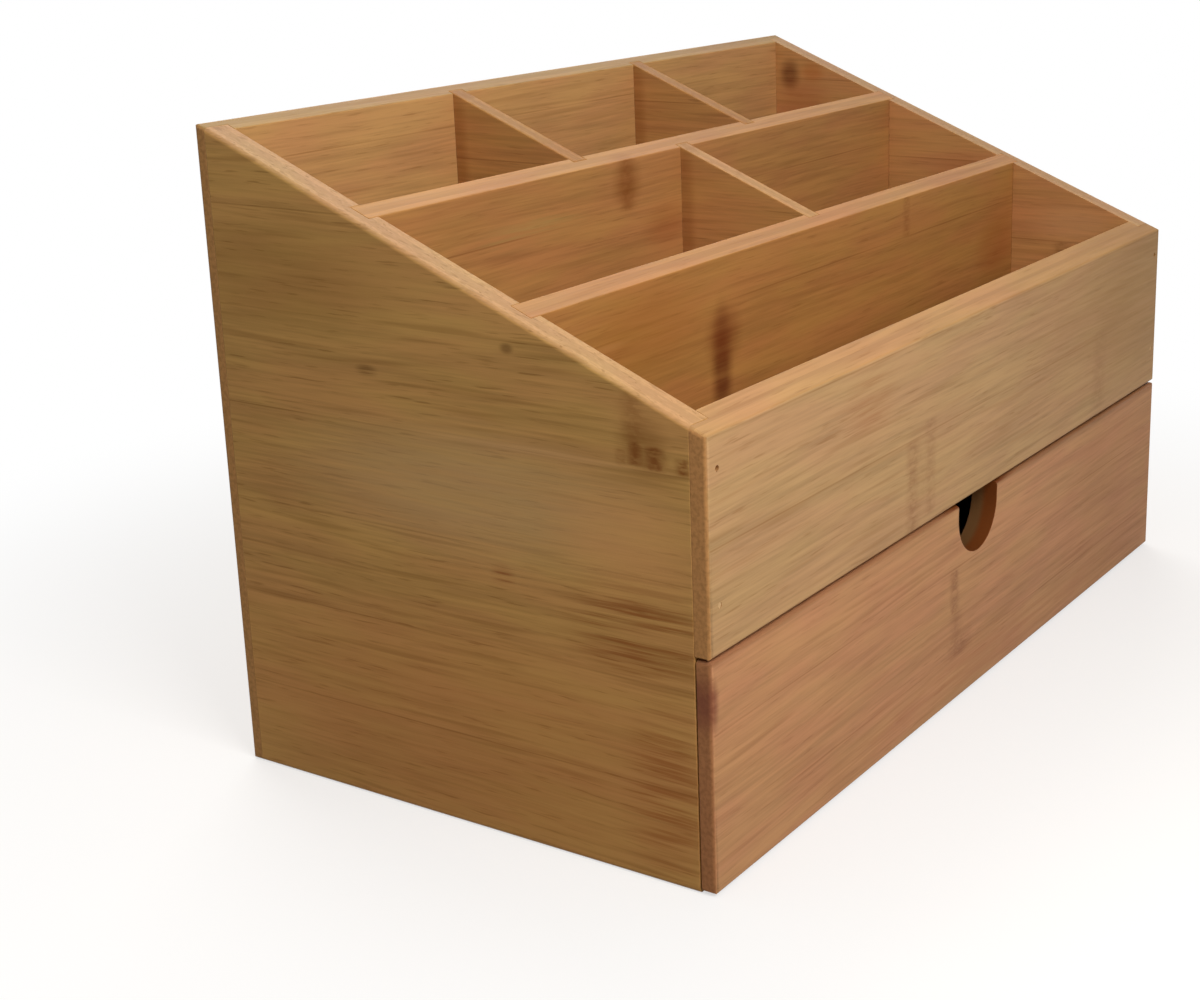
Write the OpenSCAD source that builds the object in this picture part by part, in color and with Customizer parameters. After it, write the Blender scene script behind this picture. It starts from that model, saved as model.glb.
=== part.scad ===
// Bamboo desk organizer with a sloped open top, six compartments and one drawer below.
// Millimetres, +Z up, origin under the middle of the case, the drawer front towards -Y.

/* [Case] */
// Length along the front
case_l = 245; // [200:1:300]
// Depth from front to back
case_d = 130; // [118:1:160]
// Height at the back, before its edge is eased
back_h = 150; // [130:1:190]
// Height at the front, before its edge is eased
front_h = 97; // [85:1:120]
// Radius that the outer edges are sanded to
ease_r = 1; // [0.5:0.1:1.5]

/* [Boards] */
// Thickness of the two side boards
side_t = 7; // [6:0.5:10]
// Thickness of the fixed front board and of the drawer front
front_t = 7; // [6:0.5:9]
// Thickness of both front boards where their ends lap the side boards
front_lip = 4; // [3:0.5:5]
// Thickness of the back board
back_t = 5; // [4.5:0.5:8]
// Thickness of the back board where its ends lap the side boards
back_lip = 3; // [2:0.5:4]
// Thickness of every divider
divider_t = 5; // [3:0.5:7]
// Thickness of the shelf that floors the compartments
shelf_t = 5; // [4:0.5:8]
// Thickness of the base board
base_t = 4; // [3:0.5:6]
// Depth of the grooves and rebates in the side boards
side_groove = 3; // [1.5:0.5:4]
// Depth of the grooves that hold the ends of the cross dividers
cross_groove = 1.5; // [0.5:0.25:2]

/* [Compartments] */
// Front to back inside the front compartment
front_bay = 36.5; // [26:0.5:42]
// Front to back inside the two middle compartments
middle_bay = 36.5; // [26:0.5:42]
// Distance of the middle cross divider to the right of the centre
middle_offset = 2; // [-25:1:25]

/* [Drawer] */
// Height of the drawer front's top edge
drawer_top = 51; // [40:1:60]
// Gap between the drawer front and the fixed front board
seam_gap = 0.6; // [0.4:0.1:1.5]
// Gap between the drawer front and the table
floor_gap = 0.5; // [0.3:0.1:1]
// Gap behind the drawer front when the drawer is shut
rest_gap = 0.4; // [0.3:0.1:1]
// Gap between each side of the drawer and the case
side_gap = 0.8; // [0.4:0.1:1.5]
// Gap between the drawer and the base board that it slides on
running_gap = 0.3; // [0.2:0.1:0.8]
// Gap between the drawer's sides and the shelf
headroom = 3; // [1:0.5:6]
// Gap behind the shut drawer
rear_gap = 1.5; // [0.5:0.5:5]
// Thickness of the drawer's sides and back
drawer_wall = 5; // [4:0.5:7]
// Thickness of the drawer's bottom
bottom_t = 3; // [2:0.5:5]
// Height of the drawer's bottom above the lower edges of its sides
bottom_rise = 3; // [2:0.5:5]
// Depth of the grooves that hold the drawer's bottom
bottom_groove = 2; // [1:0.5:2.5]
// Width of the finger notch
notch_w = 22; // [18:1:28]
// Depth of the finger notch
notch_depth = 14.5; // [14:0.5:20]

/* [Brads] */
// Diameter of a brad
brad_d = 1.2; // [0.8:0.1:1.6]
// Length of a brad
brad_l = 16; // [12:1:20]
// Depth that a brad's head is driven below the surface
brad_sink = 1; // [0.5:0.25:1.5]
// Distance from a board's end or edge to its nearest brad
brad_inset = 7; // [5:0.5:10]
// Height of the lower front brads above the seam
brad_rise = 10.5; // [8:0.5:16]
// Clearance round a brad
brad_fit = 0.05; // [0.02:0.01:0.1]

/* [Hidden] */
$fn = 48;

// Outer faces of the case
half_l = case_l / 2;
front_y = -case_d / 2;
back_y = case_d / 2;
slope = atan((back_h - front_h) / case_d);

// Inner faces of the case
inner_x = half_l - side_t;
inner_front = front_y + front_t;
inner_back = back_y - back_t;

// Front and back edges of the side boards
side_front = front_y + front_lip;
side_back = back_y - back_lip;

// Levels of the seam and of the shelf
seam_top = drawer_top + seam_gap;
shelf_top = seam_top + shelf_t;

// Front faces of the long dividers
front_divider_y = inner_front + front_bay;
rear_divider_y = front_divider_y + divider_t + middle_bay;
rear_row_y = rear_divider_y + divider_t;

// Left faces of the cross dividers: the rear row has three equal compartments
rear_bay_l = (2 * inner_x - 2 * divider_t) / 3;
rear_left_x = -inner_x + rear_bay_l;
rear_right_x = inner_x - rear_bay_l - divider_t;
middle_x = middle_offset - divider_t / 2;

// Outer sizes of the drawer box
box_x = inner_x - side_gap;
box_inner_x = box_x - drawer_wall;
box_back = inner_back - rear_gap;
box_inner_back = box_back - drawer_wall;
box_floor = base_t + running_gap;
box_top = seam_top - headroom;
lip_back = side_front - rest_gap;
bottom_z = box_floor + bottom_rise;

// Length of a brad's point, and what a cutter runs past a face
brad_point = 1.5;
past = 1;

// Height of the sloped top at a distance from the middle of the case
function top_at(y) = front_h + (y - front_y) * (back_h - front_h) / case_d;

// Unit vector from one point to another
function toward(a, b) = (b - a) / norm(b - a);

// Half the angle inside corner i of an outline
function half_angle(points, i) = let (
        n = len(points),
        p = points[i],
        u = toward(p, points[(i + n - 1) % n]),
        v = toward(p, points[(i + 1) % n])
    ) acos(u * v) / 2;

// The point on the side from corner i towards a neighbour where its round edge starts
function tangent_point(points, i, step, r) = let (
        n = len(points),
        p = points[i]
    ) p + toward(p, points[(i + n + step) % n]) * r / tan(half_angle(points, i));

// Centre of the round edge at corner i
function round_centre(points, i, r) = let (
        n = len(points),
        p = points[i],
        u = toward(p, points[(i + n - 1) % n]),
        v = toward(p, points[(i + 1) % n])
    ) p + (u + v) / norm(u + v) * r / sin(half_angle(points, i));

// Convex outline with every corner rounded
module rounded_outline(points, r) {
    polygon([
        for (i = [0 : len(points) - 1])
            for (step = [-1, 1]) tangent_point(points, i, step, r)
    ]);
    for (i = [0 : len(points) - 1])
        translate(round_centre(points, i, r)) circle(r = r);
}

function rectangle(x0, y0, x1, y1) = [[x0, y0], [x1, y0], [x1, y1], [x0, y1]];

// Outline drawn in Y and Z, run along X
module along_x(x0, x1) {
    translate([x0, 0, 0]) rotate([90, 0, 90]) linear_extrude(height = x1 - x0) children();
}

// Outline drawn in X and Z, run along Y
module along_y(y0, y1) {
    translate([0, y1, 0]) rotate([90, 0, 0]) linear_extrude(height = y1 - y0) children();
}

// Outline drawn in X and Y, run along Z
module along_z(z0, z1) {
    translate([0, 0, z0]) linear_extrude(height = z1 - z0) children();
}

// Block between two corners
module block(low, high) {
    translate(low) cube(high - low);
}

// Upright board from a level up to the sloped top, or past it by a lift where it is a cutter
module sloped_board(x0, x1, y0, y1, z0, lift = 0) {
    along_x(x0, x1)
        polygon([[y0, z0], [y1, z0], [y1, top_at(y1) + lift], [y0, top_at(y0) + lift]]);
}

// Cuts the outer edges of the assembled case round, as sanding does
module sanded_case() {
    intersection() {
        children();
        along_x(-half_l, half_l)
            rounded_outline([[front_y, 0], [back_y, 0], [back_y, back_h], [front_y, front_h]], ease_r);
        along_z(0, back_h)
            rounded_outline(rectangle(-half_l, front_y, half_l, back_y), ease_r);
        along_y(front_y, back_y)
            rounded_outline(rectangle(-half_l, 0, half_l, 2 * back_h), ease_r);
        translate([0, front_y, front_h])
            rotate([slope, 0, 0])
                along_y(-back_h, case_d + back_h)
                    rounded_outline(rectangle(-half_l, -2 * back_h, half_l, 0), ease_r);
    }
}

// One brad lying along +Y, its head at the origin, its end cut to a point
module brad() {
    rotate([-90, 0, 0])
        rotate_extrude()
            polygon([[0, 0], [brad_d / 2, 0], [brad_d / 2, brad_l - brad_point], [0, brad_l]]);
}

// The hole that a brad is driven in, open to the surface it went through
module brad_hole() {
    translate([0, -brad_sink - past, 0])
        rotate([-90, 0, 0])
            cylinder(d = brad_d + 2 * brad_fit, h = brad_l + brad_sink + past + brad_fit);
}

// Brads through the ends of the fixed front board, two at each end
module at_front_brads() {
    for (side = [-1, 1], z = [seam_top + brad_rise, front_h - brad_inset])
        translate([side * (half_l - side_t / 2), front_y + brad_sink, z]) children();
}

// Brads through the ends of the back board, three at each end, clear of the slope and the base
module at_back_brads() {
    low = base_t + brad_l + brad_sink;
    high = top_at(back_y - brad_sink - brad_l) - brad_inset;
    for (side = [-1, 1], z = [low, (low + high) / 2, high])
        translate([side * (half_l - side_t / 2), back_y - brad_sink, z])
            rotate([0, 0, 180]) children();
}

// Brads up through the edges of the base board, three along each side
module at_base_brads() {
    for (side = [-1, 1], step = [0, 0.5, 1])
        translate([
            side * (inner_x + side_groove / 2),
            side_front + brad_inset + step * (side_back - side_front - 2 * brad_inset),
            brad_sink
        ]) rotate([90, 0, 0]) children();
}

// Brads through the drawer's sides into its back, two at each side
module at_drawer_brads() {
    for (side = [-1, 1], z = [bottom_z + bottom_t + brad_inset, box_top - brad_inset])
        translate([side * (box_x - brad_sink), box_back - drawer_wall / 2, z])
            rotate([0, 0, side * 90]) children();
}

// Boards that sit in grooves. Each is also the cutter of its grooves, run past the outer face there
module shelf_blank() {
    block([-inner_x - side_groove, inner_front, seam_top], [inner_x + side_groove, inner_back, shelf_top]);
}

module base_blank(drop = 0) {
    block(
        [-inner_x - side_groove, inner_front + rest_gap, -drop],
        [inner_x + side_groove, inner_back, base_t]
    );
}

module long_divider_blank(y, lift = 0) {
    sloped_board(-inner_x - side_groove, inner_x + side_groove, y, y + divider_t, shelf_top, lift);
}

module rear_cross_blank(x, lift = 0) {
    sloped_board(x, x + divider_t, rear_row_y - cross_groove, inner_back + cross_groove, shelf_top, lift);
}

module middle_cross_blank(lift = 0) {
    sloped_board(
        middle_x,
        middle_x + divider_t,
        front_divider_y + divider_t - cross_groove,
        rear_divider_y + cross_groove,
        shelf_top,
        lift
    );
}

module bottom_blank() {
    block(
        [-box_inner_x - bottom_groove, inner_front - bottom_groove, bottom_z],
        [box_inner_x + bottom_groove, box_inner_back + bottom_groove, bottom_z + bottom_t]
    );
}

// Board that closes the left end, grooved for the shelf, the dividers and the base
module side_left() {
    color("#9a7443")
        difference() {
            sanded_case() sloped_board(-half_l, -inner_x, side_front, side_back, 0);
            shelf_blank();
            base_blank(past);
            long_divider_blank(front_divider_y, past);
            long_divider_blank(rear_divider_y, past);
            at_front_brads() brad_hole();
            at_back_brads() brad_hole();
            at_base_brads() brad_hole();
        }
}

module side_right() {
    mirror([1, 0, 0]) side_left();
}

// Board that closes the back, its ends rebated over the side boards
module back_panel() {
    color("#b98a58")
        difference() {
            sanded_case() sloped_board(-half_l, half_l, inner_back, back_y, 0);
            for (side = [0, 1])
                mirror([side, 0, 0])
                    block([inner_x, inner_back - past, -past], [half_l + past, side_back, back_h]);
            rear_cross_blank(rear_left_x, past);
            rear_cross_blank(rear_right_x, past);
            at_back_brads() brad_hole();
        }
}

// Fixed board above the drawer, its ends rebated over the side boards
module front_panel() {
    color("#c4986a")
        difference() {
            sanded_case() sloped_board(-half_l, half_l, front_y, inner_front, seam_top);
            for (side = [0, 1])
                mirror([side, 0, 0])
                    block([inner_x, side_front, 0], [half_l + past, inner_front + past, back_h]);
            seam_edge_cutter();
            at_front_brads() brad_hole();
        }
}

// What sanding takes off the lower front edge of the fixed front board
module seam_edge_cutter() {
    difference() {
        block(
            [-half_l - past, front_y - past, seam_top - past],
            [half_l + past, front_y + ease_r, seam_top + ease_r]
        );
        translate([-half_l - 2 * past, front_y + ease_r, seam_top + ease_r])
            rotate([0, 90, 0]) cylinder(r = ease_r, h = case_l + 4 * past);
    }
}

module shelf() {
    color("#b07a45") shelf_blank();
}

module base_panel() {
    color("#b98a58")
        difference() {
            base_blank();
            at_base_brads() brad_hole();
        }
}

// Dividers that run the length of the case
module rear_long_divider() {
    color("#b8834d")
        difference() {
            long_divider_blank(rear_divider_y);
            rear_cross_blank(rear_left_x, past);
            rear_cross_blank(rear_right_x, past);
            middle_cross_blank(past);
        }
}

module front_long_divider() {
    color("#b8834d")
        difference() {
            long_divider_blank(front_divider_y);
            middle_cross_blank(past);
        }
}

// Short dividers between the long ones and the back
module rear_left_cross_divider() {
    color("#b07a45") rear_cross_blank(rear_left_x);
}

module rear_right_cross_divider() {
    color("#b07a45") rear_cross_blank(rear_right_x);
}

module middle_cross_divider() {
    color("#b07a45") middle_cross_blank();
}

// Finger notch: straight sides over a half round
module notch_cutter() {
    translate([0, front_y - past, drawer_top - notch_depth + notch_w / 2])
        rotate([-90, 0, 0]) cylinder(d = notch_w, h = front_t + 2 * past);
    block(
        [-notch_w / 2, front_y - past, drawer_top - notch_depth + notch_w / 2],
        [notch_w / 2, inner_front + past, drawer_top + past]
    );
}

// Drawer front: an eased plate that laps the side boards, thicker between them
module drawer_front() {
    color("#b07d56")
        difference() {
            union() {
                intersection() {
                    along_x(-half_l, half_l)
                        rounded_outline(rectangle(front_y, floor_gap, lip_back + ease_r, drawer_top), ease_r);
                    along_y(front_y, lip_back)
                        rounded_outline(rectangle(-half_l, floor_gap, half_l, drawer_top), ease_r);
                    along_z(floor_gap, drawer_top)
                        rounded_outline(rectangle(-half_l, front_y, half_l, inner_front), ease_r);
                }
                block([-box_x, lip_back, floor_gap], [box_x, inner_front, drawer_top]);
            }
            bottom_blank();
            notch_cutter();
        }
}

module drawer_side_left() {
    color("#b98a58")
        difference() {
            block([-box_x, inner_front, box_floor], [-box_inner_x, box_back, box_top]);
            bottom_blank();
            at_drawer_brads() brad_hole();
        }
}

module drawer_side_right() {
    mirror([1, 0, 0]) drawer_side_left();
}

module drawer_back() {
    color("#b98a58")
        difference() {
            block([-box_inner_x, box_inner_back, box_floor], [box_inner_x, box_back, box_top]);
            bottom_blank();
            at_drawer_brads() brad_hole();
        }
}

module drawer_bottom() {
    color("#c4986a") bottom_blank();
}

module front_panel_brads() {
    color("#8c8f94") at_front_brads() brad();
}

module back_panel_brads() {
    color("#8c8f94") at_back_brads() brad();
}

module base_panel_brads() {
    color("#8c8f94") at_base_brads() brad();
}

module drawer_brads() {
    color("#8c8f94") at_drawer_brads() brad();
}

side_left();
side_right();
back_panel();
front_panel();
shelf();
base_panel();
rear_long_divider();
front_long_divider();
rear_left_cross_divider();
rear_right_cross_divider();
middle_cross_divider();
drawer_front();
drawer_side_left();
drawer_side_right();
drawer_back();
drawer_bottom();
front_panel_brads();
back_panel_brads();
base_panel_brads();
drawer_brads();
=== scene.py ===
import math
from functools import partial
from types import SimpleNamespace

import bmesh
import bpy
from mathutils import Matrix, Vector

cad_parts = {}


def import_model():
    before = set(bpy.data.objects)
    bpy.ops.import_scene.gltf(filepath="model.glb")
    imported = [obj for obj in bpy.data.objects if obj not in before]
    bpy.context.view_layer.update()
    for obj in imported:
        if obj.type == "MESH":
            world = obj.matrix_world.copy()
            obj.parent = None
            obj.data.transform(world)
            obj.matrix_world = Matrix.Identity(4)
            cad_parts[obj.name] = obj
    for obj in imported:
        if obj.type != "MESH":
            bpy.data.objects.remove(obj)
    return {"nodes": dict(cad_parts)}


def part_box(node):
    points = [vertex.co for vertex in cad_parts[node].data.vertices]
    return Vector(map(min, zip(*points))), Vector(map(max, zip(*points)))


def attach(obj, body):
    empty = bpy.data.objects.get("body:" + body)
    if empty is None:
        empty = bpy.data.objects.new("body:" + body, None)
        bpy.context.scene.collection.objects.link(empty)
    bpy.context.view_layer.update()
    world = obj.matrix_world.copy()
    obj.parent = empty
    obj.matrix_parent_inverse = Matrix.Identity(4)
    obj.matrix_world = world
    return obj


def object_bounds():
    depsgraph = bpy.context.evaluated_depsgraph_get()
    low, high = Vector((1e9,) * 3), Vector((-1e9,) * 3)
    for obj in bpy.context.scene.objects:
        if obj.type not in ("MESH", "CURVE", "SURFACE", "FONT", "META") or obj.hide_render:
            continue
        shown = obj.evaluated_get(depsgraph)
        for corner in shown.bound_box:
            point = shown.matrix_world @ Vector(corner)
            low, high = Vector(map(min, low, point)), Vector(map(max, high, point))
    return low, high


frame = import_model()
cad_low, cad_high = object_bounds()

MM = 0.001
X, Y, Z = 0, 1, 2

# The photograph's size in pixels, and its viewpoint worked out from the corners of the case,
# with the focal length and the middle of the lens in pixels and the place in metres
PHOTO_W = 1200
PHOTO_H = 1000
FOCAL_PX = 1924
CENTRE_PX = (717.6, 421.4)
SENSOR_MM = 36
VIEW_PLACE = Vector((-0.4139, -0.2543, 0.1986))
VIEW_AZIMUTH = math.radians(-57.355)
VIEW_ELEVATION = math.radians(15.82)
VIEW_ROLL = math.radians(-1.244)

# The sloped top as height over depth, from the front panel's and the back panel's top edges in mm
FRONT_H = 97
BACK_H = 150
FRONT_Y = cad_low[Y] / MM
BACK_Y = cad_high[Y] / MM
RISE = (BACK_H - FRONT_H) / (BACK_Y - FRONT_Y)
SLOPE = (RISE, FRONT_H - RISE * FRONT_Y)

# The lamps' slightly warm white
LAMP_WHITE = "#fffaf4"


def linear(hex_colour):
    """Linear colour of an sRGB hex value."""
    parts = [int(hex_colour[i:i + 2], 16) / 255 for i in (1, 3, 5)]
    return tuple(c / 12.92 if c <= 0.04045 else ((c + 0.055) / 1.055) ** 2.4 for c in parts) + (1,)


def level(colour, share):
    """A linear colour made lighter or darker by a share."""
    return tuple(c * share for c in colour[:3]) + (1,)


def add(tree, kind, *values, out=0, **settings):
    """Adds a node with its settings, and returns one of its outputs, or with out=None the node.
    Its inputs come in order, or in a dictionary by name or number. An output among them is linked.
    A kind without the word Node in it is a shader node."""
    node = tree.nodes.new(kind if "Node" in kind else "ShaderNode" + kind)
    for name, value in settings.items():
        setattr(node, name, value)
    inputs = values[0] if values and isinstance(values[0], dict) else dict(enumerate(values))
    for key, value in inputs.items():
        if isinstance(value, bpy.types.NodeSocket):
            tree.links.new(value, node.inputs[key])
        else:
            node.inputs[key].default_value = value
    return node if out is None else node.outputs[out]


def new_object(name, data):
    """A new object with this mesh, lamp or camera, linked to the scene."""
    made = bpy.data.objects.new(name, data)
    bpy.context.scene.collection.objects.link(made)
    return made


def new_material(name):
    """An empty node material, and the call that adds nodes to it."""
    made = bpy.data.materials.new(name)
    made.use_nodes = True
    made.node_tree.nodes.clear()
    return made, partial(add, made.node_tree)


SMOOTH = {"interpolation_type": "SMOOTHSTEP"}
COLOUR = {"data_type": "RGBA", "out": 2}

# The bamboo's patterns: length and width of one streak in mm, finer layers, and a seed of its own.
# The fibres lie about 0.3 mm apart, and are drawn 0.6 mm apart so that they show.
STREAKS = {
    "fine": (20, 0.6, 2, 0),
    "band": (34, 1.5, 2, 5),
    "slow": (60, 9, 2, 9),
    "dashes": (9, 0.6, 1, 13),
    "speck": (3.5, 1.4, 2, 17),
    "mottle": (30, 7, 1, 21),
    "dark": (42, 1.6, 1, 25),
}

# How wide the fibres swing, and how far apart their bends lie along and across the grain, in mm
SWING = 3.5
BEND_LONG = 110
BEND_WIDE = 35

# Open pores of the end grain, and how deep the lacquer shows the fibres, in mm
PORE = 0.9
RELIEF = 0.03

# The glue lines hold 0.15 mm of resin, drawn 0.3 mm wide so that it shows
GLUE_W = 0.3

# Tints of the strips step by this much from board to board
TINT_STEP = 7.31

# What a sanded arris does to the colour under it, together with a painted highlight along it
SANDED_PALE_AND_HIGHLIGHT = (1.2, 1.2, 1.16, 1)


def streaks(put, place, seed, streak):
    """Noise drawn out along the grain, with streaks of a real size."""
    long_mm, wide_mm, detail, own_seed = streak
    size = (1 / long_mm, 1 / wide_mm, 1 / wide_mm)
    shift = seed + own_seed
    scaled = put("VectorMath", place, size, (shift, shift, shift), operation="MULTIPLY_ADD")
    return put("TexNoise", {"Vector": scaled, "Scale": 1, "Detail": detail, "Roughness": 0.6})


def grit(put, size_mm, detail):
    """Noise with specks of a real size, alike in every direction."""
    held = put("TexCoord", out="Object")
    scaled = put("VectorMath", {0: held, "Scale": 1 / (size_mm * MM)}, operation="SCALE")
    return put("TexNoise", {"Vector": scaled, "Scale": 1, "Detail": detail})


def strongest(put, masks):
    """The highest of several masks at each point."""
    top = masks[0]
    for mask in masks[1:]:
        top = put("Math", top, mask, operation="MAXIMUM")
    return top


def board_places(put, grain, across_axis):
    """Where a point lies on its board, in mm, and how much its surface is sawn edge or end grain."""
    depth_axis = 3 - grain - across_axis
    held = put("TexCoord", out="Object")
    in_mm = put("VectorMath", {0: held, "Scale": 1 / MM}, operation="SCALE")
    xyz = put("SeparateXYZ", in_mm, out=None)
    along, across, depth = (xyz.outputs[axis] for axis in (grain, across_axis, depth_axis))
    normal = put("SeparateXYZ", put("TexCoord", out="Normal"), out=None)
    end_on = put("Math", normal.outputs[grain], operation="ABSOLUTE")
    face_on = put("Math", normal.outputs[depth_axis], operation="ABSOLUTE")
    return SimpleNamespace(
        xyz=xyz,
        along=along,
        across=across,
        depth=depth,
        flat=put("CombineXYZ", along, across),
        ended=put("MapRange", end_on, 0.6, 0.9, **SMOOTH),
        sawn=put("MapRange", face_on, 0.7, 0.97, 1, 0, **SMOOTH),
    )


def culm_patterns(put, at, seed):
    """The patterns by name, on fibres that wander a little, as they did in the culm."""
    drift = put("VectorMath", at.flat, (1 / BEND_LONG, 1 / BEND_WIDE, 0), operation="MULTIPLY")
    lean = put("TexNoise", {"Vector": drift, "Scale": 1, "Detail": 1})
    bent_across = put("Math", lean, SWING, at.across, operation="MULTIPLY_ADD")
    place = put("CombineXYZ", at.along, bent_across, at.depth)
    found = {name: streaks(put, place, seed, streak) for name, streak in STREAKS.items()}
    return SimpleNamespace(**found)


def glued_strips(put, across, strips, seed):
    """A tint for each strip of a board, and the distance to the nearest glue line in strips."""
    first, strip_w = strips
    moved = put("Math", across, first, operation="SUBTRACT")
    counted = put("Math", moved, strip_w, operation="DIVIDE")
    strip = put("Math", counted, operation="FLOOR")
    strip_key = put("Math", strip, seed * TINT_STEP, operation="ADD")
    tint = put("TexWhiteNoise", {"W": strip_key}, noise_dimensions="1D")
    nearest = put("Math", counted, operation="ROUND")
    off_line = put("Math", counted, nearest, operation="SUBTRACT")
    return tint, put("Math", off_line, operation="ABSOLUTE")


def fibre_lines(put, wood, bold):
    """Dark streaks, and thin dashes where fibre bundles reach the surface."""
    streak = put("MapRange", wood.dark, 0.55, 0.75, 0, bold, **SMOOTH)
    dash = put("MapRange", wood.dashes, 0.58, 0.74, **SMOOTH)
    crowd = put("MapRange", wood.band, 0.4, 0.62, 0.4 * bold, 1.4 * bold, **SMOOTH)
    dash = put("Math", dash, crowd, operation="MULTIPLY")
    return put("Math", streak, dash, operation="MAXIMUM")


def node_mask(put, at, ragged, mark):
    """One node of the culm: a soft band across a strip, with ragged sides."""
    centre, low, high, width, strength = mark
    moved = put("Math", at.along, centre, operation="SUBTRACT")
    away = put("Math", moved, operation="ABSOLUTE")
    worn = put("Math", ragged, 0.9 * width, away, operation="MULTIPLY_ADD")
    band = put("MapRange", worn, 0.1 * width, 0.6 * width, strength, 0, **SMOOTH)
    over = put("MapRange", at.across, low - 0.3, low + 0.5, **SMOOTH)
    under = put("MapRange", at.across, high - 0.5, high + 0.3, 1, 0, **SMOOTH)
    inside = put("Math", over, under, operation="MULTIPLY")
    return put("Math", band, inside, operation="MULTIPLY")


def node_rings(put, at, speck, marks):
    """All nodes of the culm on a board, broken into short dashes."""
    ragged = put("Math", speck, 0.5, operation="SUBTRACT")
    rings = strongest(put, [node_mask(put, at, ragged, mark) for mark in marks])
    broken = put("MapRange", speck, 0.36, 0.6, 0.35, 1, **SMOOTH)
    return put("Math", rings, broken, operation="MULTIPLY")


def patch_mask(put, flat, centre, reach, strength):
    """Soft oval patch on a board's face."""
    moved = put("VectorMath", flat, (centre[0], centre[1], 0), operation="SUBTRACT")
    scaled = put("VectorMath", moved, (1 / reach[0], 1 / reach[1], 0), operation="MULTIPLY")
    far = put("VectorMath", scaled, out="Value", operation="LENGTH")
    return put("MapRange", far, 0.2, 1, strength, 0, **SMOOTH)


def stained_and_shaded(put, colour, flat, soaking, spots):
    """A colour with soft oval stains and patches of painted shade over it, each as strong as the wood
    soaks it up.
    """
    for centre, reach, strength, stain_and_shade in spots:
        spread = patch_mask(put, flat, centre, reach, strength)
        soaked = put("Math", spread, soaking, operation="MULTIPLY")
        colour = put("Mix", {0: soaked, 6: colour, 7: linear(stain_and_shade)}, **COLOUR)
    return colour


def shaded_notch_wall(put, colour, at, notch_shade, outer_face, thick):
    """The wall of the finger notch in painted shade, over the sawn grain's own darker colour: red brown
    in its outer layers, and duller further in.
    """
    centre, reach, outer, inner = notch_shade
    near = patch_mask(put, at.flat, centre, (2 * reach, 2 * reach), 1.5)
    near = put("Math", near, at.sawn, operation="MULTIPLY", use_clamp=True)
    start = outer_face + 0.4 * thick
    deep = put("MapRange", at.depth, start, start + 0.25 * thick, **SMOOTH)
    stain_and_shade = put("Mix", {0: deep, 6: linear(outer), 7: linear(inner)}, **COLOUR)
    return put("Mix", {0: near, 6: colour, 7: stain_and_shade}, **COLOUR)


def edge_distance(put, xyz, low, high, slope):
    """Distance in mm from a point on a board to its nearest arris: the middle one of three."""
    gaps = []
    for axis in (X, Y, Z):
        moved = put("Math", xyz.outputs[axis], (low[axis] + high[axis]) / 2, operation="SUBTRACT")
        away = put("Math", moved, operation="ABSOLUTE")
        gaps.append(put("Math", (high[axis] - low[axis]) / 2, away, operation="SUBTRACT"))
    if slope:
        rise, start = slope
        plane = put("Math", xyz.outputs[Y], rise, start, operation="MULTIPLY_ADD")
        under = put("Math", plane, xyz.outputs[Z], operation="SUBTRACT")
        square = put("Math", under, math.cos(math.atan(rise)), operation="MULTIPLY")
        over = put("Math", xyz.outputs[Z], low[Z], operation="SUBTRACT")
        gaps[Z] = put("Math", square, over, operation="MINIMUM")
    small = put("Math", gaps[0], gaps[1], operation="MINIMUM")
    large = put("Math", gaps[0], gaps[1], operation="MAXIMUM")
    mid = put("Math", large, gaps[2], operation="MINIMUM")
    return put("Math", small, mid, operation="MAXIMUM")


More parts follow.
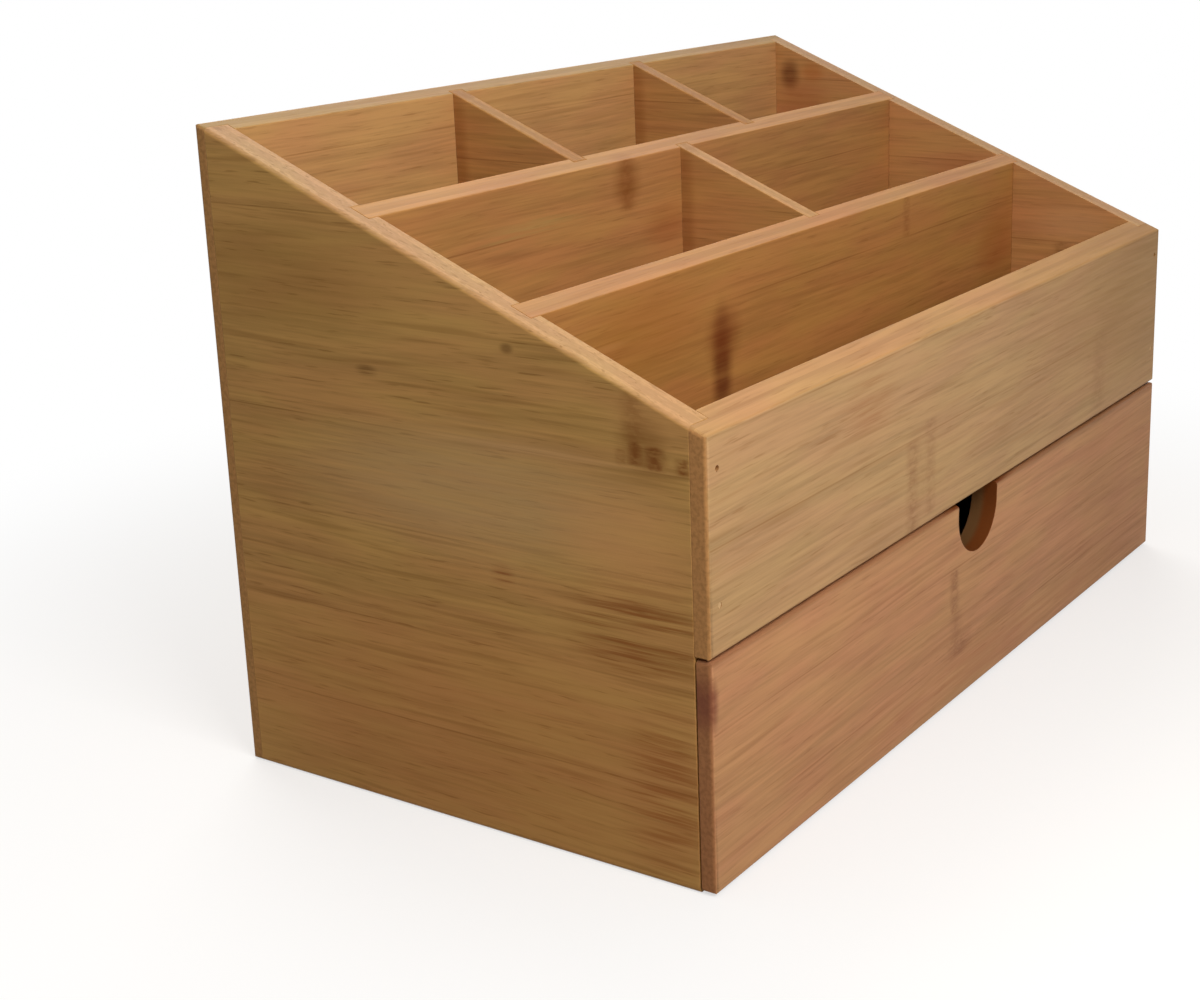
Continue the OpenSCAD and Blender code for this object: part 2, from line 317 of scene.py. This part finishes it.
def bamboo(
    name, node, grain, across_axis, seed, tone, strips, bold=0.3,
    marks=(), patches=(), smears_and_shade=(), notch_shade=None, plies=(0.3, 0.7, 0.25), sloped=False, worn=0.3,
):
    """Pressed bamboo, planed, sanded and sprayed with satin lacquer: flat strips about 22 mm wide,
    glued edge to edge. The eye sees fine straight fibres, dark dashes where the fibre bundles lie,
    a tint that changes from strip to strip, brown nodes across single strips, and a soft gloss."""
    made, put = new_material(name)
    face, cut, end, bundle, ring = (linear(c) for c in tone)
    low, high = (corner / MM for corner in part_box(node))
    depth_axis = 3 - grain - across_axis
    bottom = low[depth_axis]
    thick = high[depth_axis] - bottom

    at = board_places(put, grain, across_axis)
    wood = culm_patterns(put, at, seed)
    tint, off_glue = glued_strips(put, at.across, strips, seed)

    # Planed faces: fibres, streaks of them, slow changes along the culm, and the strips' tints
    body = 0
    for pattern, weight in ((wood.fine, 0.65), (wood.band, 0.8), (wood.slow, 0.6), (tint, 0.22)):
        body = put("Math", pattern, weight, body, operation="MULTIPLY_ADD")
    shade = put("MapRange", body, 0.85, 1.6, **SMOOTH)
    planed = put("Mix", {0: shade, 6: level(face, 1.16), 7: level(face, 0.84)}, **COLOUR)

    # Sawn edges: the middle ply shows as a darker band. Boards along the front and back show
    # lines there, and those along the sides only fine fibres.
    ply_low, ply_high, ply_depth = plies
    above = put("Math", at.depth, bottom + ply_low * thick, operation="GREATER_THAN")
    below = put("Math", at.depth, bottom + ply_high * thick, operation="LESS_THAN")
    middle = put("Math", above, below, operation="MULTIPLY")
    lined = wood.band if grain == X else wood.fine
    layered = put("Math", middle, ply_depth, lined, operation="MULTIPLY_ADD")
    edge_shade = put("MapRange", layered, 0.3, 0.8, **SMOOTH)
    edged = put("Mix", {0: edge_shade, 6: level(cut, 1.1), 7: level(cut, 0.9)}, **COLOUR)
    colour = put("Mix", {0: at.sawn, 6: planed, 7: edged}, **COLOUR)

    # Some stretches are greener and some pinker, the way light and dark culms are mixed
    hue = put("MapRange", wood.mottle, 0.3, 0.7, 0.4955, 0.5045, **SMOOTH)
    colour = put("HueSaturation", {"Hue": hue, "Color": colour})
    lines = fibre_lines(put, wood, bold)
    colour = put("Mix", {0: lines, 6: colour, 7: bundle}, **COLOUR)

    # Patches soak in along the fibres
    if patches:
        streaked = put("MapRange", wood.band, 0.36, 0.6, 0.15, 1, **SMOOTH)
        rippled = put("MapRange", wood.fine, 0.35, 0.6, 0.4, 1, **SMOOTH)
        soaking = put("Math", streaked, rippled, operation="MULTIPLY")
        colour = stained_and_shaded(put, colour, at.flat, soaking, patches)

    # The nodes and the glue lines are drawn on the planed faces and stop at the sawn edges.
    # The glue lines come and go.
    on_face = put("MapRange", at.sawn, 0, 0.5, 1, 0)
    if marks:
        rings = node_rings(put, at, wood.speck, marks)
        rings = put("Math", rings, on_face, operation="MULTIPLY")
        colour = put("Mix", {0: rings, 6: colour, 7: ring}, **COLOUR)
    near_line = put("MapRange", off_glue, 0, GLUE_W / strips[1], 1, 0, **SMOOTH)
    fades = put("MapRange", wood.slow, 0.35, 0.6, 0.1, 0.5, **SMOOTH)
    glue = put("Math", near_line, fades, operation="MULTIPLY")
    glue = put("Math", glue, on_face, operation="MULTIPLY")
    colour = put("Mix", {0: glue, 6: colour, 7: bundle}, **COLOUR)

    # Across the grain the cut ends of the bundles drink more lacquer
    speckle = put("MapRange", grit(put, PORE, 2), 0.35, 0.7, **SMOOTH)
    ends = put("Mix", {0: speckle, 6: level(end, 1.1), 7: level(end, 0.85)}, **COLOUR)
    colour = put("Mix", {0: at.ended, 6: colour, 7: ends}, **COLOUR)

    # Smears lie nearly even over faces and ends alike. Some are stains, and some are painted shade,
    # as noted at each board.
    if smears_and_shade:
        soaking = put("MapRange", wood.band, 0.3, 0.65, 0.75, 1, **SMOOTH)
        colour = stained_and_shaded(put, colour, at.flat, soaking, smears_and_shade)
    # Painted shade on the finger notch's wall
    if notch_shade:
        colour = shaded_notch_wall(put, colour, at, notch_shade, bottom, thick)

    # Arrises are paler, unevenly, from sanding wear and from a painted highlight along them; worn
    # sets how strong this is
    edge = edge_distance(put, at.xyz, low, high, SLOPE if sloped else None)
    rubbed_and_highlit = put("Math", wood.band, 1.4, edge, operation="MULTIPLY_ADD")
    wear_and_highlight = put("MapRange", rubbed_and_highlit, 0.75, 1.5, worn, 0, **SMOOTH)
    colour = put("Mix", {0: wear_and_highlight, 6: colour, 7: SANDED_PALE_AND_HIGHLIGHT}, blend_type="MULTIPLY", **COLOUR)

    # Satin lacquer over open fibre, rougher where the edges are rubbed. The photograph shows
    # hardly any highlight, so it is held low.
    rough = put("Math", wood.fine, 0.18, 0.38, operation="MULTIPLY_ADD")
    rough = put("Math", wear_and_highlight, 0.2, rough, operation="MULTIPLY_ADD")
    relief = put("Math", lines, -0.8, wood.fine, operation="MULTIPLY_ADD")
    relief = put("Math", glue, -0.6, relief, operation="MULTIPLY_ADD")
    bump = put("Bump", {"Height": relief, "Strength": 1, "Distance": RELIEF * MM})
    coat = {"Base Color": colour, "Roughness": rough, "Normal": bump}
    shader = put("BsdfPrincipled", {**coat, "IOR": 1.5, "Specular IOR Level": 0.06})
    put("OutputMaterial", shader, out=None)
    return made


def drawn_steel(name):
    """Steel wire drawn through a die and cut into brads: grey, slightly mottled, with a dull shine."""
    made, put = new_material(name)
    mottle = grit(put, 0.6, 3)
    colour = put("Mix", {0: mottle, 6: linear("#77787a"), 7: linear("#a3a4a6")}, **COLOUR)
    rough = put("MapRange", mottle, 0.3, 0.7, 0.3, 0.5, **SMOOTH)
    bump = put("Bump", {"Height": mottle, "Strength": 0.4, "Distance": 0.02 * MM})
    metal = {"Base Color": colour, "Roughness": rough, "Normal": bump, "Metallic": 1}
    put("OutputMaterial", put("BsdfPrincipled", metal), out=None)
    return made


def wood_filler(name):
    """Wood flour in resin, knifed into a brad hole and sanded: pale tan, matt and slightly grainy."""
    made, put = new_material(name)
    flour = grit(put, 0.25, 2)
    colour = put("Mix", {0: flour, 6: linear("#b78f5e"), 7: linear("#d9b88c")}, **COLOUR)
    bump = put("Bump", {"Height": flour, "Strength": 0.6, "Distance": 0.05 * MM})
    putty = {"Base Color": colour, "Roughness": 0.75, "Normal": bump}
    put("OutputMaterial", put("BsdfPrincipled", putty), out=None)
    return made


def seen_white(put):
    """1 for rays that come from the camera, a mirror or glass, and 0 for light on the object."""
    path = put("LightPath", out=None)
    rays = [path.outputs[kind] for kind in ("Is Camera Ray", "Is Glossy Ray", "Is Transmission Ray")]
    return strongest(put, rays)


def floor():
    """Plain pale floor. The camera sees part of its white as a set level, which thins the shadow,
    and only that white further out. Light that it throws back on the object is that of pale card."""
    made, put = new_material("matt_white_floor")
    held = put("TexCoord", out="Object")
    out_from = put("VectorMath", held, out="Value", operation="LENGTH")
    share = put("MapRange", out_from, 0.12, 0.32, 0.6, 1, **SMOOTH)
    lit = put("BsdfDiffuse", {"Color": linear("#ffffff")})
    card = put("BsdfDiffuse", {"Color": linear("#a5a19b")})
    white = put("Emission", {"Color": linear("#ffffff"), "Strength": 1.0})
    thinned = put("MixShader", share, lit, white)
    shown = put("MixShader", seen_white(put), card, thinned)
    put("OutputMaterial", shown, out=None)
    half = 6.0
    corners = [(-half, -half, 0), (half, -half, 0), (half, half, 0), (-half, half, 0)]
    mesh = bpy.data.meshes.new("floor")
    mesh.from_pydata(corners, [], [(0, 1, 2, 3)])
    mesh.materials.append(made)
    new_object("floor", mesh)


def world():
    """Even soft light from all round, and white where the camera looks past the floor."""
    made = bpy.data.worlds.new("studio")
    made.use_nodes = True
    made.node_tree.nodes.clear()
    put = partial(add, made.node_tree)
    fill = put("Background", {"Color": linear("#fffaf2"), "Strength": 0.2})
    white = put("Background", {"Color": linear("#ffffff"), "Strength": 1.0})
    shown = put("MixShader", seen_white(put), fill, white)
    put("OutputWorld", shown, out=None)
    bpy.context.scene.world = made


def sun(name, toward, strength, softness):
    """Soft lamp in the direction of toward. Strength 1 lights a face square to it to its own colour."""
    data = bpy.data.lights.new(name, "SUN")
    data.energy = strength * math.pi
    data.angle = math.radians(softness)
    data.color = linear(LAMP_WHITE)[:3]
    lamp = new_object(name, data)
    lamp.rotation_euler = Vector(toward).to_track_quat("Z", "Y").to_euler()


def softbox(name, place, aim, size, strength):
    """Square lamp. Strength 1 lights a face square to it, at the aim, to its own colour."""
    reach = Vector(place) - Vector(aim)
    data = bpy.data.lights.new(name, "AREA")
    data.size = size
    data.energy = strength * math.pi ** 2 * reach.length_squared
    data.color = linear(LAMP_WHITE)[:3]
    lamp = new_object(name, data)
    lamp.location = place
    lamp.rotation_euler = reach.to_track_quat("Z", "Y").to_euler()


def camera():
    """Camera at the photograph's viewpoint."""
    a, e, r = VIEW_AZIMUTH, VIEW_ELEVATION, VIEW_ROLL
    forward = Vector((-math.sin(a) * math.cos(e), math.cos(a) * math.cos(e), -math.sin(e)))
    sideways = Vector((math.cos(a), math.sin(a), 0))
    upright = sideways.cross(forward)
    right = math.cos(r) * sideways + math.sin(r) * upright
    up = math.cos(r) * upright - math.sin(r) * sideways
    turn = Matrix((right, up, -forward)).transposed().to_4x4()
    data = bpy.data.cameras.new("camera")
    data.sensor_width = SENSOR_MM
    data.lens = SENSOR_MM * FOCAL_PX / PHOTO_W
    data.shift_x = (PHOTO_W / 2 - CENTRE_PX[0]) / PHOTO_W
    data.shift_y = (CENTRE_PX[1] - PHOTO_H / 2) / PHOTO_W
    made = new_object("camera", data)
    made.matrix_world = Matrix.Translation(VIEW_PLACE) @ turn
    bpy.context.scene.camera = made


# Edges sharper than one angle are arrises, faces flatter than the other are one face, and corners
# closer than this many mm are one corner
SHARP_ANGLE = math.radians(40)
FLAT_ANGLE = math.radians(0.5)
JOIN_MM = 0.002


def long_arrises(least_mm):
    """Geometry nodes that pick a board's sharp edges longer than least_mm, for its easing. The
    shorter ones, such as the short sides of a brad hole's rim, are marked to stay sharp."""
    group = bpy.data.node_groups.new("long_arrises", "GeometryNodeTree")
    for in_out in ("INPUT", "OUTPUT"):
        group.interface.new_socket("Board", in_out=in_out, socket_type="NodeSocketGeometry")
    put = partial(add, group)
    board = put("NodeGroupInput")
    ends = put("GeometryNodeInputMeshEdgeVertices", out=None)
    places = (ends.outputs["Position 1"], ends.outputs["Position 2"])
    length = put("VectorMath", *places, out="Value", operation="DISTANCE")
    angle = put("GeometryNodeInputMeshEdgeAngle")
    sharp = put("Math", angle, SHARP_ANGLE, operation="GREATER_THAN")
    long = put("Math", length, least_mm * MM, operation="GREATER_THAN")
    picked = put("Math", sharp, long, operation="MULTIPLY")
    left = put("Math", sharp, picked, operation="SUBTRACT")
    eased = {"Geometry": board, "Name": "bevel_weight_edge", "Value": picked}
    marked = put("GeometryNodeStoreNamedAttribute", eased, data_type="FLOAT", domain="EDGE")
    crisp = {"Geometry": marked, "Name": "sharp_edge", "Value": left}
    marked = put("GeometryNodeStoreNamedAttribute", crisp, data_type="BOOLEAN", domain="EDGE")
    put("NodeGroupOutput", marked, out=None)
    return group


def ease(node, width_mm, picker):
    """Joins the split corners of a board's mesh, merges its flat faces and eases its picked arrises."""
    board = frame["nodes"][node]
    weld = board.modifiers.new("weld", "WELD")
    weld.merge_threshold = JOIN_MM * MM
    flatten = board.modifiers.new("flatten", "DECIMATE")
    flatten.decimate_type = "DISSOLVE"
    flatten.angle_limit = FLAT_ANGLE
    pick = board.modifiers.new("pick", "NODES")
    pick.node_group = picker
    bevel = board.modifiers.new("ease", "BEVEL")
    bevel.width = width_mm * MM
    bevel.segments = 2
    bevel.limit_method = "WEIGHT"
    bevel.use_clamp_overlap = False
    shade = board.modifiers.new("shade", "WEIGHTED_NORMAL")
    shade.keep_sharp = True
    shade.weight = 100


# A filler plug in mm: its radius in a hole 1.3 mm wide, the radii of its dish and of the lip round
# that, how far it is sunk, dished and rounded off by sanding, and how deep it goes
PLUG_R = 0.64
PLUG_LIP_R = 0.5
PLUG_DISH_R = 0.25
PLUG_SUNK = 0.06
PLUG_DISH = 0.05
PLUG_ROUND = 0.06
PLUG_DEEP = 0.8


def filler_plug(name, x, z, surface):
    """Filler over a sunk brad: a disc as wide as the hole, dished a little where it was sanded."""
    face = FRONT_Y + PLUG_SUNK
    profile = [
        (PLUG_DISH_R, face + PLUG_DISH),
        (PLUG_LIP_R, face),
        (PLUG_R, face + PLUG_ROUND),
        (PLUG_R, face + PLUG_DEEP),
    ]
    around = 20
    shell = bmesh.new()
    rings = []
    for radius, y in profile:
        turns = [2 * math.pi * i / around for i in range(around)]
        places = [(x + radius * math.cos(t), y, z + radius * math.sin(t)) for t in turns]
        rings.append([shell.verts.new(Vector(place) * MM) for place in places])
    for inner, outer in zip(rings, rings[1:]):
        for i in range(around):
            j = (i + 1) % around
            shell.faces.new((inner[i], inner[j], outer[j], outer[i]))
    shell.faces.new(rings[0][::-1])
    shell.faces.new(rings[-1])
    bmesh.ops.recalc_face_normals(shell, faces=shell.faces)
    mesh = bpy.data.meshes.new(name)
    shell.to_mesh(mesh)
    shell.free()
    mesh.materials.append(surface)
    plug = new_object(name, mesh)
    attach(plug, "case")


def dress(node, surface):
    """Gives a node its material, in every slot it has."""
    slots = frame["nodes"][node].data.materials
    for index in range(len(slots)):
        slots[index] = surface


# Tones: planed face, sawn edge, end grain, fibre bundles, nodes
SIDE_TONE = ("#bb9056", "#bb9263", "#b5884e", "#7c5526", "#74380f")
RIGHT_TONE = ("#ba8654", "#ba9166", "#b5804e", "#7c5028", "#5a2f18")
FRONT_TONE = ("#b79268", "#b4895b", "#b28251", "#94673c", "#8a5a3a")
DRAWER_FRONT_TONE = ("#bb8a62", "#b98560", "#a3704a", "#935f3c", "#7c4a30")
FRONT_DIVIDER_TONE = ("#a97742", "#b78556", "#a06c3c", "#7c4c25", "#6e3014")
REAR_DIVIDER_TONE = ("#b17e4b", "#ba8856", "#a06c3c", "#80522c", "#7c4018")
CROSS_TONE = ("#b98751", "#bc8d5d", "#a87446", "#875a32", "#6e3a1c")
REAR_CROSS_TONE = ("#b98751", "#a8763d", "#a87446", "#875a32", "#6e3a1c")
BACK_TONE = ("#c1925e", "#ac8857", "#b08250", "#946838", "#7c4c2a")
BOX_TONE = ("#cba274", "#c9a47c", "#b58c5c", "#997043", "#805634")

# Each board: the axis of its grain and the one across it, the seed of its patterns, its tones,
# where a glue line lies across the grain and how wide a strip is, and how bold its lines are.
# A mark, one node of the culm, is its centre along the grain, its lowest and highest place across
# it, its width and its strength. A patch or smear is its centre along and across the grain, its
# reach each way, its strength and its colour; some smears are painted shade, as noted at each
# board. The entry for the finger notch, whose wall is painted shade, is its centre, reach, and the
# colours of its outer and inner wall. Plies are where the middle ply starts and ends as shares of
# the thickness, and how much darker it is. Places and widths are in mm.
BOARDS = {
    "side_left": dict(
        grain=Y, across_axis=Z, seed=3, tone=SIDE_TONE, strips=(-1, 22.3), bold=0.35, sloped=True,
        worn=0.12,
        marks=[
            (-48.5, 89, 94, 4.5, 0.75), (-53, 88.5, 93.5, 5.5, 0.8), (-59.5, 88.5, 92, 4, 0.75),
            (-45, 88.5, 92, 3, 0.45), (-48, 93.5, 104, 7, 0.35),
        ],
        patches=[
            ((-48, 54), (26, 15), 0.85, "#8e5426"), ((-54, 20), (14, 30), 0.7, "#94592a"),
            ((-14, 60), (4, 3.5), 0.7, "#8a4a20"), ((20, 100), (4, 2), 0.6, "#6a4822"),
        ],
        smears_and_shade=[
            ((-22, 88.5), (42, 1.3), 0.5, "#cda06c"), ((-18, 109), (2.4, 1.5), 0.7, "#5e3b1c"),
            ((45, 118), (50, 18), 0.45, "#8c6630"), ((-5, 77), (65, 20), 0.45, "#cfac7c"),
            ((0, 20), (110, 45), 0.35, "#bd7542"), ((-46, 72), (26, 15), 0.45, "#dca368"),
            ((-50.5, 93.5), (8, 8), 0.5, "#7a4a1e"),
        ],
    ),
    "side_right": dict(
        grain=Y, across_axis=Z, seed=11, tone=RIGHT_TONE, strips=(3, 22.3), bold=0.2, sloped=True,
        worn=0.12, marks=[(12, 25.3, 47.6, 7, 0.6), (-38, 69.9, 92.2, 6, 0.5)],
        smears_and_shade=[
            ((55, 138), (5, 6.5), 0.75, "#5a2412"), ((47, 139), (6, 4), 0.5, "#b0602c"),
            ((50, 128), (14, 12), 0.45, "#a85e38"), ((-6, 108), (18, 12), 0.4, "#a8603c"),
            ((-41, 97.5), (18, 8), 0.35, "#c99a6e"),
        ],
    ),
    "front_panel": dict(
        grain=X, across_axis=Z, seed=19, tone=FRONT_TONE, strips=(51.6, 22.4), sloped=True,
        plies=(0.42, 0.58, 0.6),
        marks=[
            (-36, 52, 74, 8, 0.45), (-27, 54, 77, 7, 0.35), (-31, 54, 74, 14, 0.15),
            (78, 54, 76, 12, 0.3),
        ],
        patches=[((-56, 88), (16, 12), 0.5, "#a97048")],
        # Painted shade: the right end darkened, where the light falls off
        smears_and_shade=[((112, 80), (60, 40), 0.6, "#a07c4c"), ((75, 88), (75, 45), 0.3, "#a57846")],
    ),
    "drawer_front": dict(
        grain=X, across_axis=Z, seed=23, tone=DRAWER_FRONT_TONE, strips=(13, 22.4), bold=0.25,
        worn=0.1,
        marks=[(-13, 24, 35, 6, 0.55), (-12, 17, 24, 8, 0.3), (-10, 12, 17, 15, 0.45)],
        patches=[((0, 7), (120, 7), 0.4, "#c0805a")],
        smears_and_shade=[
            # Painted shade: the two dark bands along the seam at 51 mm under the front panel, and the
            # darker right part centred at 95 mm, where the light falls off
            ((-122.5, 42), (3, 8), 1, "#83503b"), ((0, 51), (700, 1.3), 0.85, "#8c5f40"),
            ((95, 26), (60, 50), 0.3, "#a97145"), ((70, 50.8), (95, 2.2), 0.5, "#7c5433"),
        ],
        # Painted shade on the finger notch's wall
        notch_shade=((0, 48), 13, "#703c1a", "#6a4a2c"),
    ),
    "front_long_divider": dict(
        grain=X, across_axis=Z, seed=31, tone=FRONT_DIVIDER_TONE, strips=(81, 23), bold=0.2, sloped=True,
        marks=[(46, 104, 118, 5, 0.3)],
        smears_and_shade=[
            ((-48, 88), (6, 20), 0.8, "#5c2812"), ((-47, 96), (10, 10), 0.6, "#6e3014"),
            ((104, 92), (18, 14), 0.45, "#9a5226"), ((-93, 103), (11, 1.1), 0.45, "#c8925a"),
            ((-80, 103), (34, 16), 0.35, "#97611f"),
        ],
    ),
    "rear_long_divider": dict(
        grain=X, across_axis=Z, seed=37, tone=REAR_DIVIDER_TONE, strips=(96, 23), bold=0.2, sloped=True,
        marks=[(-25, 119, 132, 7, 0.4)],
        patches=[((-64, 120), (26, 5), 0.5, "#b89a5c")],
        smears_and_shade=[((-25, 126), (8, 9), 0.6, "#7c4418"), ((-8, 113), (14, 8), 0.4, "#a05a30")],
    ),
    "back_panel": dict(
        grain=X, across_axis=Z, seed=41, tone=BACK_TONE, strips=(8, 22), sloped=True,
        marks=[(-72, 30, 52, 7, 0.5), (18, 96, 118, 6, 0.5), (66, 52, 74, 6, 0.4)],
    ),
    "rear_left_cross_divider": dict(
        grain=Y, across_axis=Z, seed=43, tone=REAR_CROSS_TONE, strips=(60, 24), sloped=True,
        # Painted shade: a dark band in the corner where the divider meets the back panel
        smears_and_shade=[((59, 110), (4, 80), 0.45, "#864c22")],
    ),
    "rear_right_cross_divider": dict(
        grain=Y, across_axis=Z, seed=47, tone=REAR_CROSS_TONE, strips=(66, 24), sloped=True,
        # Painted shade: a dark band in the corner where the divider meets the back panel
        smears_and_shade=[((59, 110), (4, 80), 0.45, "#864c22")],
    ),
    "middle_cross_divider": dict(
        grain=Y, across_axis=Z, seed=53, tone=CROSS_TONE, strips=(63, 24), sloped=True,
        # Painted shade: a dark band in the corner where the divider meets the rear long divider
        smears_and_shade=[((19, 100), (4, 80), 0.45, "#864c22")],
    ),
    "shelf": dict(grain=X, across_axis=Y, seed=59, tone=FRONT_DIVIDER_TONE, strips=(-58, 22.3)),
    "base_panel": dict(
        grain=X, across_axis=Y, seed=61, tone=BACK_TONE, strips=(-58, 22.3),
        marks=[(-60, -35, -13, 6, 0.5), (44, 9, 31, 6, 0.5)],
    ),
    "drawer_side_left": dict(grain=Y, across_axis=Z, seed=67, tone=BOX_TONE, strips=(4, 22.3)),
    "drawer_side_right": dict(grain=Y, across_axis=Z, seed=71, tone=BOX_TONE, strips=(2, 22.3)),
    "drawer_back": dict(grain=X, across_axis=Z, seed=73, tone=BOX_TONE, strips=(4, 22.3)),
    "drawer_bottom": dict(
        grain=X, across_axis=Y, seed=79, tone=BOX_TONE, strips=(-62, 22.3),
        marks=[(-40, -39.5, -17.5, 6, 0.5), (58, 5, 27, 6, 0.45)],
    ),
}

# How wide the boards' arrises are eased in mm. Those of the two front boards are softer.
EASED_MM = 0.2
SOFTER_MM = {"drawer_front": 0.25, "front_panel": 0.3}
SHORTEST_EASED_MM = 0.3

picker = long_arrises(SHORTEST_EASED_MM)
for node, facts in BOARDS.items():
    dress(node, bamboo("satin_lacquered_bamboo_" + node, node, **facts))
    ease(node, SOFTER_MM.get(node, EASED_MM), picker)

steel = drawn_steel("drawn_steel_wire")
for node in ("front_panel_brads", "back_panel_brads", "base_panel_brads", "drawer_brads"):
    dress(node, steel)

# The lower brads of the front panel are filled over, the upper ones are left open
brad_low, brad_high = (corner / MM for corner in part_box("front_panel_brads"))
BRAD_R = 0.6
filler = wood_filler("wood_filler")
filler_plug("filler_plug_left", brad_low[X] + BRAD_R, brad_low[Z] + BRAD_R, filler)
filler_plug("filler_plug_right", brad_high[X] - BRAD_R, brad_low[Z] + BRAD_R, filler)

floor()
world()
softbox("key", place=(-0.23, -0.38, 0.36), aim=(-0.10, -0.06, 0.08), size=0.28, strength=1.0)
softbox("top", place=(-0.12, 0.05, 0.70), aim=(-0.05, 0.0, 0.10), size=0.60, strength=0.28)
sun("rim", toward=(0.55, 0.60, 0.55), strength=0.5, softness=50)
camera()
bpy.context.scene.view_settings.view_transform = "Standard"
